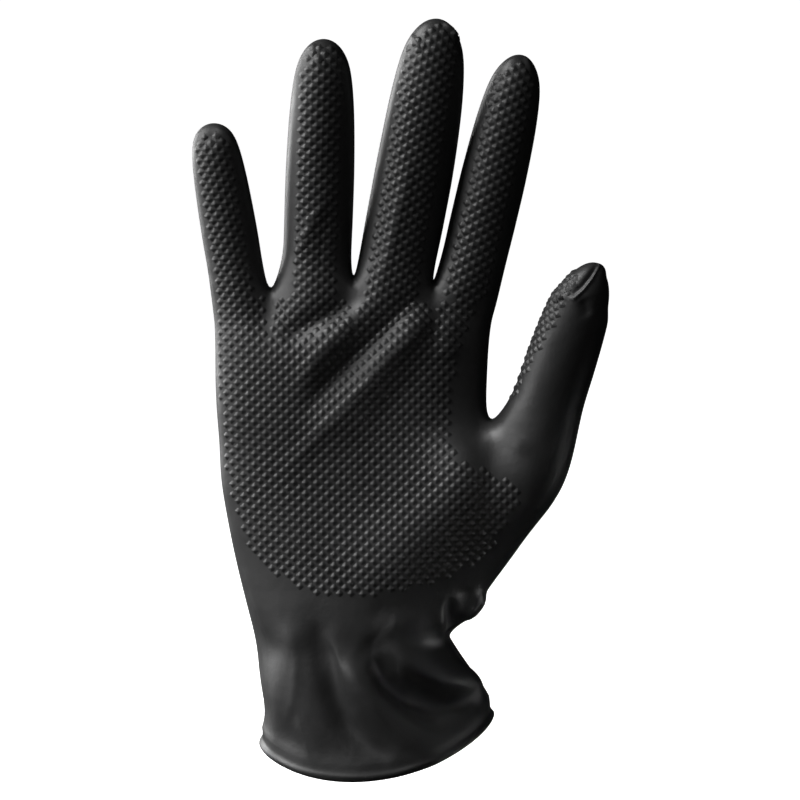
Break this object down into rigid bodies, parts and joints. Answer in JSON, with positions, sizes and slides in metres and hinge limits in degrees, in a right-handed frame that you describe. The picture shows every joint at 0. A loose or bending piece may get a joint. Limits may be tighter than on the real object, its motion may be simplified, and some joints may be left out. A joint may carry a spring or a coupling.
{
  "type": "nitrile exam glove",
  "caption": "Black nitrile exam glove held open as if worn, fingers up, with a raised diamond grip, a smooth cuff and a rolled bead at the wrist.",
  "frame": {"origin": "centre of the wrist opening", "axes": "+Z from the wrist towards the fingertips, -Y out of the palm, +X towards the thumb"},
  "size_m": [0.1298, 0.056, 0.2364],
  "materials": {
    "nitrile": "satin"
  },
  "bodies": {
    "root": {"glove_shell": "nitrile"}
  },
  "joints": []
}
